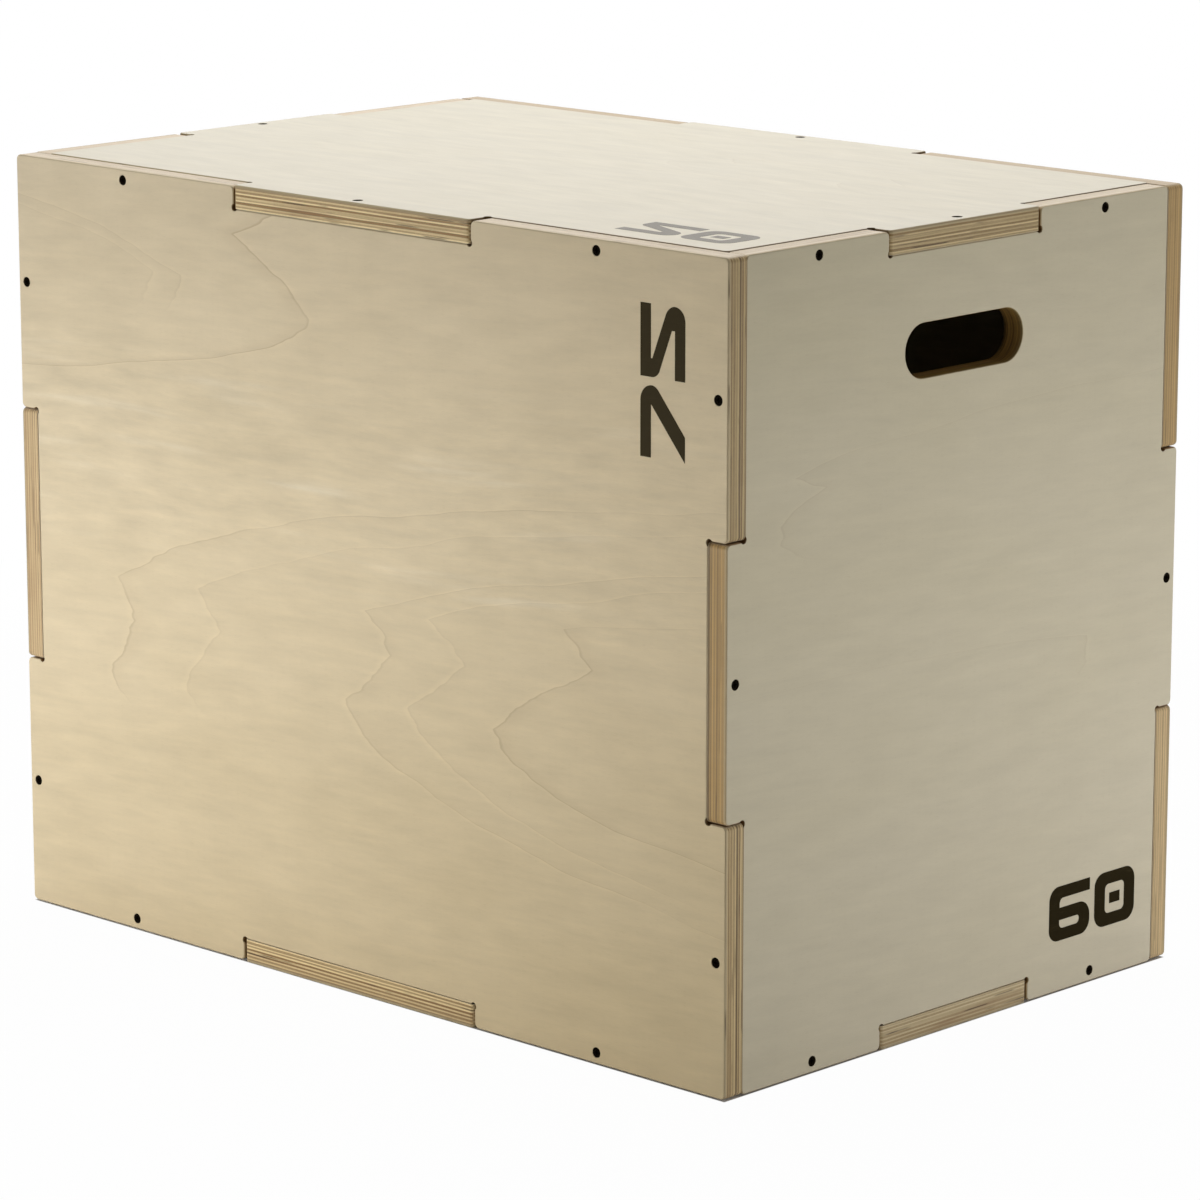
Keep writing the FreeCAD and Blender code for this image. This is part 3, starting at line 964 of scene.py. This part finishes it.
# Pale plies for the long edges, partly their own tone, partly painted sheen where these edges are seen at
# a grazing angle.
PALE_PLIES_AND_SHEEN = PlyTones(tint(214, 199, 175), tint(201, 182, 155))
FRONT_FLAMES: tuple[Flame, ...] = (
    Flame(
        -0.275, Opens.FORWARD, low_tip=-0.088, notch=-0.050, high_tip=-0.020,
        contours=(
            Contour(0.0, 0.30, lower_arm=0.0),
            Contour(0.09, 0.12, 0.04, lower_arm=0.0),
            Contour(0.27, 0.22, 0.05),
            Contour(0.34, 0.12, 0.06),
        ),
        depth=22.0 * MM, lag=14.0 * MM, low_bow=21.0, high_lean=1.75, rise=0.06,
    ),
    Flame(
        0.145, Opens.FORWARD, low_tip=-0.070, notch=-0.015, high_tip=0.012,
        contours=(Contour(0.0, 0.36),),
        depth=42.0 * MM, lag=72.0 * MM, low_bow=37.0, high_lean=7.0, rise=0.06,
    ),
    Flame(
        -0.045, Opens.BACKWARD, low_tip=0.212, notch=0.260, high_tip=0.305,
        contours=(Contour(0.0, 0.42),),
        depth=65.0 * MM, lag=0.0, low_bow=52.0,
    ),
    Flame(
        -0.190, Opens.BACKWARD, low_tip=0.225, notch=0.226, high_tip=0.227,
        contours=(Contour(0.0, 0.16, lower_arm=0.0), Contour(0.03, 0.10, lower_arm=0.0)),
        depth=0.0, lag=0.0, low_bow=20.0, high_lean=2.5,
    ),
)
BACK_FLAMES: tuple[Flame, ...] = (
    Flame(-0.12, Opens.FORWARD, 0.00, 0.035, 0.07, nest(0.0, 0.11, 0.19, 0.30, dark=0.24)),
    Flame(0.05, Opens.BACKWARD, -0.21, -0.18, -0.15, nest(0.0, 0.13, dark=0.24), low_bow=38.0),
)
RIGHT_FLAMES: tuple[Flame, ...] = (
    Flame(
        -0.20, Opens.FORWARD, low_tip=0.105, notch=0.125, high_tip=0.135,
        contours=(Contour(0.0, 0.16, lower_arm=0.0),),
        depth=40.0 * MM, lag=15.0 * MM, low_bow=60.0, high_lean=5.0,
    ),
    Flame(
        0.15, Opens.BACKWARD, low_tip=-0.030, notch=-0.029, high_tip=-0.028,
        contours=(Contour(0.0, 0.14, lower_arm=0.0),),
        depth=0.0, lag=0.0, low_bow=20.0, high_lean=8.7,
    ),
)
LEFT_FLAME = Flame(0.10, Opens.BACKWARD, -0.08, -0.05, -0.03, nest(0.0, 0.15, dark=0.18), low_bow=50.0)
TOP_FLAME = Flame(0.02, Opens.FORWARD, 0.07, 0.09, 0.11, nest(0.0, 0.17, dark=0.10), low_bow=60.0)
BOTTOM_FLAME = Flame(-0.20, Opens.FORWARD, 0.0, 0.03, 0.05, nest(0.0, 0.13, 0.24, dark=0.20))
DECK_CUT: dict[str, object] = {
    "scorch_share": 0.62,
    "void_share": 0.85,
    "soot": tint(72, 46, 14),
    "end_soot": 0.08 * MM,
    "side_soot": 0.08 * MM,
}
# Each panel's upper and lower colours are partly its veneer's tone and partly painted light and shade;
# the right panel's darker upper colour paints the shade on its upper part.
PLYWOOD: dict[Side, PlywoodFinish] = {
    Side.FRONT: PlywoodFinish(
        "Plywood front",
        seed=2.0,
        upper=tint(210, 195, 166),
        lower=tint(213, 194, 154),
        long_edge=PALE_PLIES_AND_SHEEN,
        cross_edge=PlyTones(tint(216, 193, 145), tint(140, 113, 76)),
        flames=FRONT_FLAMES,
        upper_cast=(0.80, 0.79, 0.76, 1.0),
        skin=tint(198, 182, 148),
        void_share=0.70,
        slant=0.045,
        lively=2.3,
        pale_share=0.34,
        pale_middle=0.09,
        pale_reach=0.10,
        stain_depth=12.0 * MM,
    ),
    Side.BACK: PlywoodFinish(
        "Plywood back",
        seed=11.0,
        upper=tint(206, 194, 170),
        lower=tint(207, 191, 157),
        long_edge=PlyTones(tint(188, 169, 139), tint(176, 154, 123)),
        cross_edge=PlyTones(tint(219, 192, 145), tint(169, 145, 107)),
        flames=BACK_FLAMES,
        upper_cast=(0.76, 0.69, 0.55, 1.0),
        slant=-0.04,
        lively=1.7,
    ),
    Side.RIGHT: PlywoodFinish(
        "Plywood right",
        seed=23.0,
        upper=tint(193, 184, 155),
        lower=tint(216, 207, 185),
        long_edge=PALE_PLIES_AND_SHEEN,
        cross_edge=PlyTones(tint(193, 159, 100), tint(142, 110, 66)),
        flames=RIGHT_FLAMES,
        skin=tint(190, 172, 136),
        stain_depth=17.0 * MM,
        stain=tint(66, 47, 24),
        slant=-0.06,
        lean=0.22,
        pale_share=0.04,
        end_soot=0.06 * MM,
    ),
    Side.LEFT: PlywoodFinish(
        "Plywood left",
        seed=37.0,
        upper=tint(203, 195, 173),
        lower=tint(202, 193, 169),
        long_edge=PALE_PLIES_AND_SHEEN,
        cross_edge=PlyTones(tint(205, 183, 140), tint(171, 141, 105)),
        flames=(LEFT_FLAME,),
        glue=tint(150, 116, 80),
        slant=0.05,
        pale_share=0.04,
        end_soot=UNBURNT,
    ),
    Side.TOP: PlywoodFinish(
        "Plywood top",
        seed=41.0,
        upper=tint(201, 194, 175),
        lower=tint(210, 202, 182),
        long_edge=PlyTones(tint(238, 217, 168), tint(139, 106, 63)),
        cross_edge=PlyTones(tint(211, 190, 145), tint(137, 113, 75)),
        flames=(TOP_FLAME,),
        clean=-0.10,
        lively=1.5,
        pale_share=0.08,
        **DECK_CUT,
    ),
    Side.BOTTOM: PlywoodFinish(
        "Plywood bottom",
        seed=53.0,
        upper=tint(206, 191, 164),
        lower=tint(205, 190, 162),
        long_edge=PlyTones(tint(233, 210, 159), tint(135, 103, 63)),
        cross_edge=PlyTones(tint(214, 198, 161), tint(160, 136, 99)),
        flames=(BOTTOM_FLAME,),
        glue=tint(120, 84, 50),
        lively=1.3,
        **DECK_CUT,
    ),
}


@dataclass(frozen=True)
class BlackFinish:
    """A thin black finish that follows a fine and a coarse pattern, and is paler where it is thin."""

    title: str
    full: Colour
    thin: Colour
    specular: float
    roughness: float
    rough_change: float
    relief: float
    sheen: Colour = WHITE
    fine_share: float = 0.4
    coarse_share: float = 0.5
    thin_marks: Marks = (0.1, 1.0)
    bump: float = 0.4

    def coat(self, surface: Surface, fine: Value, coarse: Value) -> bpy.types.Material:
        """Fill a new material's shader.

        Args:
            surface: The material's nodes.
            fine: The fine pattern, which also roughens and bumps the surface.
            coarse: The coarse pattern.

        Returns:
            The finished material.
        """
        thin = (coarse * self.coarse_share + fine * self.fine_share).step(*self.thin_marks)
        surface.set("Base Color", surface.mix(thin, self.full, self.thin))
        surface.set("Specular IOR Level", self.specular)
        surface.set("Specular Tint", self.sheen)
        surface.set("Roughness", fine * self.rough_change + self.roughness)
        surface.bump(fine, self.bump, self.relief)
        return surface.material


@dataclass(frozen=True)
class ScrewFinish(BlackFinish):
    """Black phosphated steel, dull, with a fine crystalline speckle, rubbed paler in patches."""

    title: str = "Black screw"
    full: Colour = tint(11, 6, 1)
    thin: Colour = tint(20, 13, 7)
    specular: float = 0.01
    roughness: float = 0.55
    rough_change: float = 0.06
    relief: float = 0.05 * MM
    speckle: Grain = Grain(4200.0, 4200.0, 4200.0, seed=1.0)
    patch: Grain = Grain(700.0, 700.0, 700.0, seed=2.0)

    def material(self) -> bpy.types.Material:
        """Make the screws' material.

        Returns:
            The finished material.
        """
        surface = Surface(self.title)
        place = surface.coordinate("Object")
        return self.coat(surface, self.speckle.noise(place), self.patch.noise(place))


@dataclass(frozen=True)
class InkFinish(BlackFinish):
    """Black printing ink that lies on the veneer and follows its fibres."""

    title: str = "Printed ink"
    full: Colour = tint(58, 49, 28)
    thin: Colour = tint(72, 61, 40)
    specular: float = 0.03
    roughness: float = 0.48
    rough_change: float = 0.05
    relief: float = 0.04 * MM
    sheen: Colour = (1.0, 0.93, 0.80, 1.0)

    def material(self, side: Side, effects: WoodEffects) -> bpy.types.Material:
        """Make the ink for one panel.

        Args:
            side: The panel that it is printed on.
            effects: The shared wood groups.

        Returns:
            The finished material.
        """
        surface = Surface(f"{self.title} {side.name.lower()}")
        sheet = LAYS[side].coordinates(surface, side.value)
        wood = PLYWOOD[side]
        fibre = effects.fibre.place(surface, {"Sheet": sheet, "Slant": wood.slant, "Seed": wood.seed})
        return self.coat(surface, fibre["Fibre"], fibre["Streak"])


@dataclass
class Panels:
    """The six plywood panels, whose shapes come with the frame."""

    effects: WoodEffects

    def dress(self, nodes: dict[str, bpy.types.Object]) -> None:
        """Give each panel its own sheet of plywood.

        Args:
            nodes: The frame's objects by name.
        """
        for side, finish in PLYWOOD.items():
            panel = nodes[side.value]
            panel.data.materials.clear()
            panel.data.materials.append(PanelSurface(side, finish, self.effects).material)
            LOG.info("%s: %s", panel.name, finish.title)


@dataclass
class Screws:
    """All the screws of the frame, in their groups."""

    finish: ScrewFinish = field(default_factory=ScrewFinish)
    prefix: str = "screw"

    def dress(self, nodes: dict[str, bpy.types.Object]) -> None:
        """Blacken every screw.

        Args:
            nodes: The frame's objects by name.
        """
        material = self.finish.material()
        for name, screw in nodes.items():
            if name.startswith(self.prefix):
                screw.data.materials.clear()
                screw.data.materials.append(material)
                LOG.info("%s: %s", name, self.finish.title)


@dataclass(frozen=True)
class Round:
    """A corner of a figure that is rounded: its place in the figure and how far the round reaches."""

    corner: Point
    reach: float


@dataclass(frozen=True)
class Figure:
    """One wide, square-shouldered figure, in millimetres from its lower left corner."""

    width: float
    openings: tuple[tuple[Point, ...], ...]
    rounds: tuple[Round, ...]


def oblong(left: float, bottom: float, right: float, top: float) -> tuple[Point, ...]:
    """Give the corners of an oblong, anticlockwise."""
    return ((left, bottom), (right, bottom), (right, top), (left, top))


def rounds(reach: float, *corners: Point) -> tuple[Round, ...]:
    """Round several corners alike."""
    return tuple(Round(corner, reach) for corner in corners)


# Height of all the figures, in millimetres.
CAP = 42.4
FIGURES: dict[str, Figure] = {
    "0": Figure(
        48.2,
        (
            oblong(12.7, 9.8, 17.8, CAP - 9.8),
            oblong(30.4, 9.8, 35.5, CAP - 9.8),
            oblong(17.8, 9.8, 30.4, 17.0),
            oblong(17.8, 25.4, 30.4, CAP - 9.8),
        ),
        rounds(11.0, *oblong(0.0, 0.0, 48.2, CAP)) + rounds(4.0, *oblong(12.7, 9.8, 35.5, CAP - 9.8)),
    ),
    "5": Figure(
        51.5,
        (
            ((13.2, 32.5), (13.2, 31.1), (51.5, 15.9), (51.5, 32.5)),
            ((0.0, 9.7), (34.5, 9.7), (34.5, 12.6), (0.0, 26.2)),
        ),
        (Round((51.5, 0.0), 10.0), Round((51.5, 15.9), 7.0), Round((0.0, 26.2), 5.0)),
    ),
    "6": Figure(
        48.0,
        (oblong(12.3, 25.6, 48.0, 32.9), oblong(12.0, 9.5, 35.3, 16.0)),
        rounds(10.5, (0.0, 0.0), (48.0, 0.0), (0.0, CAP))
        + rounds(12.0, (48.0, 25.6))
        + rounds(4.0, (12.3, 32.9), (12.0, 9.5))
        + (Round((35.3, 9.5), 3.5), Round((35.3, 16.0), 2.5)),
    ),
    "7": Figure(
        51.0,
        (((0.0, 0.0), (37.8, 32.3), (0.0, 32.3)), ((18.2, 0.0), (51.0, 0.0), (51.0, 27.9))),
        (Round((51.0, CAP), 11.0), Round((51.0, 27.9), 4.5)),
    ),
}


@dataclass(frozen=True)
class Print:
    """One printed height: its text, the panel it is on, and how its line of text runs."""

    text: str
    side: Side
    reading: Way
    rising: Way
    ink: InkFinish


@dataclass
class Numbers:
    """The height in centimetres of each way to stand the box, printed in a corner of three panels."""

    effects: WoodEffects
    box: tuple[Vector, Vector]
    margin: float = 40.0 * MM
    gap: float = 5.8 * MM
    film: float = 0.12 * MM
    bite: float = 0.02 * MM
    round_steps: int = 8
    corner_near: float = 0.05 * MM
    cut_near: float = 0.001 * MM
    flat_angle: float = math.radians(1.0)
    prints: tuple[Print, ...] = (
        Print("60", Side.RIGHT, Way.BACK, Way.UP, InkFinish(full=tint(42, 35, 18), specular=0.01)),
        Print("75", Side.FRONT, Way.UP, Way.LEFT, InkFinish()),
        Print("50", Side.TOP, Way.RIGHT, Way.BACK, InkFinish(specular=0.62)),
    )

    def build(self) -> None:
        """Model the numbers, lay each on its panel and ink it."""
        for printed in self.prints:
            number = self.number(printed.text)
            self.lay(number, printed)
            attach(number, BODY)
            number.data.materials.append(printed.ink.material(printed.side, self.effects))
            LOG.info("%s on %s", number.name, printed.side.value)

    def number(self, text: str) -> bpy.types.Object:
        """Model a number flat, with its lower right corner at the origin.

        Args:
            text: Its figures.

        Returns:
            The number as one object.
        """
        figures = [FIGURES[sign] for sign in text]
        left = -sum(figure.width * MM for figure in figures) - self.gap * (len(figures) - 1)
        plates = []
        for figure in figures:
            plates.append(self.plate(figure, left))
            left += figure.width * MM + self.gap
        deselect_all()
        for plate in plates:
            plate.select_set(True)
        number = plates[0]
        bpy.context.view_layer.objects.active = number
        bpy.ops.object.join()
        number.name = f"number_{text}"
        number.data.name = number.name
        return number

    def plate(self, figure: Figure, left: float) -> bpy.types.Object:
        """Cut one figure from a flat plate, thicken it to a film of ink and round its corners.

        Args:
            figure: The figure.
            left: Where its left side lies.

        Returns:
            The figure as an object.
        """
        deselect_all()
        bpy.ops.mesh.primitive_plane_add(size=1.0, location=(0.0, 0.0, 0.0))
        plate = bpy.context.object
        bpy.ops.object.mode_set(mode="EDIT")
        width = figure.width * MM
        height = CAP * MM
        bpy.ops.transform.resize(value=(width, height, 1.0))
        bpy.ops.transform.translate(value=(width / 2, height / 2, -self.bite))
        for opening in figure.openings:
            self.cut(plate, [Vector((x * MM, y * MM, 0.0)) for x, y in opening])
        bpy.ops.mesh.select_all(action="SELECT")
        bpy.ops.mesh.dissolve_limited(angle_limit=self.flat_angle)
        bpy.ops.mesh.select_all(action="SELECT")
        rise = (0.0, 0.0, self.film + self.bite)
        bpy.ops.mesh.extrude_region_move(TRANSFORM_OT_translate={"value": rise})
        bpy.ops.mesh.select_all(action="SELECT")
        bpy.ops.mesh.normals_make_consistent(inside=False)
        for corner in figure.rounds:
            self.round_corner(plate, corner)
        bpy.ops.mesh.select_all(action="SELECT")
        bpy.ops.transform.translate(value=(left, 0.0, 0.0))
        bpy.ops.object.mode_set(mode="OBJECT")
        return plate

    def cut(self, plate: bpy.types.Object, corners: list[Vector]) -> None:
        """Cut a many-cornered opening in a plate.

        Args:
            plate: The plate, in edit mode.
            corners: The opening's corners in order.
        """
        sides = list(zip(corners, corners[1:] + corners[:1]))
        for start, end in sides:
            run = end - start
            bpy.ops.mesh.select_all(action="SELECT")
            bpy.ops.mesh.bisect(plane_co=start, plane_no=(-run.y, run.x, 0.0), threshold=self.cut_near)
        bpy.ops.mesh.select_all(action="DESELECT")
        middle = sum(corners, Vector()) / len(corners)
        mesh = bmesh.from_edit_mesh(plate.data)
        for face in mesh.faces:
            centre = face.calc_center_median()
            if all(same_side(start, end, centre, middle) for start, end in sides):
                face.select_set(True)
        bmesh.update_edit_mesh(plate.data)
        bpy.ops.mesh.delete(type="FACE")

    def round_corner(self, plate: bpy.types.Object, corner: Round) -> None:
        """Round one upright corner of a thickened figure.

        Args:
            plate: The figure, in edit mode.
            corner: The corner and its reach.
        """
        place = Vector(corner.corner) * MM
        bpy.ops.mesh.select_all(action="DESELECT")
        mesh = bmesh.from_edit_mesh(plate.data)
        for edge in mesh.edges:
            if all((end.co.xy - place).length < self.corner_near for end in edge.verts):
                edge.select_set(True)
        bmesh.update_edit_mesh(plate.data)
        bpy.ops.mesh.bevel(offset=corner.reach * MM, segments=self.round_steps, affect="EDGES")

    def lay(self, number: bpy.types.Object, printed: Print) -> None:
        """Put a number in its corner of its panel and make that place its own.

        Args:
            number: The flat number.
            printed: Its panel and how it runs there.
        """
        low, high = self.box
        right = printed.reading.vector
        up = printed.rising.vector
        out = right.cross(up)
        reach = right - up + out
        corner = Vector(high[axis] if reach[axis] > 0 else low[axis] for axis in range(3))
        corner -= (right - up) * self.margin
        turn = Matrix((right, up, out)).transposed().to_4x4()
        number.matrix_world = Matrix.Translation(corner) @ turn
        deselect_all()
        number.select_set(True)
        bpy.context.view_layer.objects.active = number
        bpy.ops.object.transform_apply(location=True, rotation=True, scale=True)


def same_side(start: Vector, end: Vector, point: Vector, other: Vector) -> bool:
    """Tell whether two points lie on the same side of the line from start to end."""
    run = (end - start).xy
    return run.cross((point - start).xy) * run.cross((other - start).xy) > 0


@dataclass(frozen=True)
class Softbox:
    """A large soft lamp."""

    name: str
    place: Triple
    aim: Triple
    width: float
    height: float
    watts: float

    def build(self) -> None:
        """Hang the lamp."""
        light = bpy.data.lights.new(self.name, "AREA")
        light.shape = "RECTANGLE"
        light.size = self.width
        light.size_y = self.height
        light.energy = self.watts
        lamp = bpy.data.objects.new(self.name, light)
        lamp.location = self.place
        lamp.rotation_euler = (Vector(self.aim) - Vector(self.place)).to_track_quat("-Z", "Y").to_euler()
        lamp.visible_camera = False
        bpy.context.scene.collection.objects.link(lamp)


@dataclass
class Studio:
    """A white floor, a white surround, soft lamps and the camera."""

    box: tuple[Vector, Vector]
    # The floor and how white it looks, and how strong the light from all round is.
    floor_size: float = 14.0
    floor_drop: float = 0.3 * MM
    floor_colour: Colour = (0.86, 0.86, 0.86, 1.0)
    near_white: float = 0.98
    white_reach: Marks = (0.9, 1.5)
    footprint_edge: Marks = (-1.0 * MM, 0.0)
    ambient: float = 0.15
    # Where the camera stands, what it looks at, and its lens.
    azimuth: float = 43.99
    elevation: float = 12.62
    target: Triple = (12.3 * MM, 0.0, 265.1 * MM)
    distance: float = 4057.0 * MM
    sensor: float = 36.0
    focal_pixels: float = 5255.0
    image_pixels: float = 1200.0
    lamps: tuple[Softbox, ...] = (
        Softbox("Left softbox", (-0.50, -1.10, 0.12), (-0.10, -0.25, 0.20), 0.9, 0.4, 7.0),
        Softbox("Far left softbox", (-0.95, -1.15, 0.14), (-0.20, -0.25, 0.20), 0.9, 0.4, 0.9),
        Softbox("Right softbox", (1.25, 0.55, 0.12), (0.375, 0.10, 0.20), 0.8, 0.4, 3.3),
        Softbox("Far right softbox", (1.60, 0.10, 0.12), (0.375, 0.05, 0.20), 0.9, 0.4, 2.7),
        Softbox("Top softbox", (-0.45, 0.50, 2.40), (-0.10, 0.10, 0.60), 1.5, 1.4, 35.0),
        Softbox("Back softbox", (-2.20, 2.30, 1.00), (0.0, 0.0, 0.60), 2.6, 1.6, 12.0),
    )

    def build(self) -> None:
        """Set up the floor, the light and the camera."""
        self.build_floor()
        self.build_world()
        for lamp in self.lamps:
            lamp.build()
        self.build_camera()
        bpy.context.scene.view_settings.view_transform = "Standard"

    def show_white(self, graph: Graph, own: Value, white: Value, share: Feed) -> Value:
        """Show white to the rays that see a surface, and its own shader to those that carry light.

        Args:
            graph: The surface's nodes.
            own: Its own shader.
            white: The white shader.
            share: How white it is.

        Returns:
            The mixed shader.
        """
        path = graph.node("ShaderNodeLightPath", {}).outputs
        seen = graph.math("MAXIMUM", path["Is Camera Ray"], path["Is Glossy Ray"])
        seen = seen.most(path["Is Transmission Ray"])
        return graph.value("ShaderNodeMixShader", {0: seen * share, 1: own, 2: white})

    def build_floor(self) -> None:
        """Lay the floor, which is white to the camera but for the box's shadow."""
        deselect_all()
        bpy.ops.mesh.primitive_plane_add(size=self.floor_size, location=(0.0, 0.0, -self.floor_drop))
        floor = bpy.context.object
        floor.name = "floor"
        surface = Surface("White floor")
        surface.tree.nodes.remove(surface.shader)
        matt = surface.value("ShaderNodeBsdfDiffuse", {"Color": self.floor_colour})
        white = surface.value("ShaderNodeEmission", {"Color": WHITE, "Strength": 1.0})
        place = surface.coordinate("Object")
        away = surface.value("ShaderNodeVectorMath", {0: place}, "Value", operation="LENGTH")
        share = away.step(*self.white_reach) * (1.0 - self.near_white) + self.near_white
        low, high = self.box
        halves = (high - low) / 2
        beyond = [abs(part) - half for part, half in zip(place.parts()[:2], halves)]
        share = share * reduce(Value.most, beyond).step(*self.footprint_edge)
        output = surface.tree.nodes["Material Output"]
        surface.feed(output.inputs["Surface"], self.show_white(surface, matt, white, share))
        floor.data.materials.append(surface.material)
        floor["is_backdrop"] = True

    def build_world(self) -> None:
        """Surround the box with soft light, seen as white."""
        world = bpy.data.worlds.new("White surround")
        world.use_nodes = True
        bpy.context.scene.world = world
        graph = Graph(world.node_tree)
        graph.tree.nodes.clear()
        soft = graph.value("ShaderNodeBackground", {"Color": WHITE, "Strength": self.ambient})
        white = graph.value("ShaderNodeBackground", {"Color": WHITE, "Strength": 1.0})
        graph.node("ShaderNodeOutputWorld", {"Surface": self.show_white(graph, soft, white, 1.0)})

    def build_camera(self) -> None:
        """Stand the camera where the photograph was taken from."""
        turn = math.radians(self.azimuth)
        rise = math.radians(self.elevation)
        back = Vector((math.sin(turn) * math.cos(rise), -math.cos(turn) * math.cos(rise), math.sin(rise)))
        lens = bpy.data.cameras.new("Camera")
        lens.sensor_width = self.sensor
        lens.lens = self.focal_pixels / self.image_pixels * self.sensor
        camera = bpy.data.objects.new("Camera", lens)
        camera.location = Vector(self.target) + back * self.distance
        camera.rotation_euler = (-back).to_track_quat("-Z", "Y").to_euler()
        bpy.context.scene.collection.objects.link(camera)
        bpy.context.scene.camera = camera


def main() -> None:
    """Dress the box and set up the studio round it."""
    logging.basicConfig(level=logging.INFO, format="%(name)s: %(message)s")
    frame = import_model()
    cad_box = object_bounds()
    effects = WoodEffects()
    Panels(effects).dress(frame["nodes"])
    Screws().dress(frame["nodes"])
    Numbers(effects, cad_box).build()
    Studio(cad_box).build()


if __name__ == "__main__":
    main()
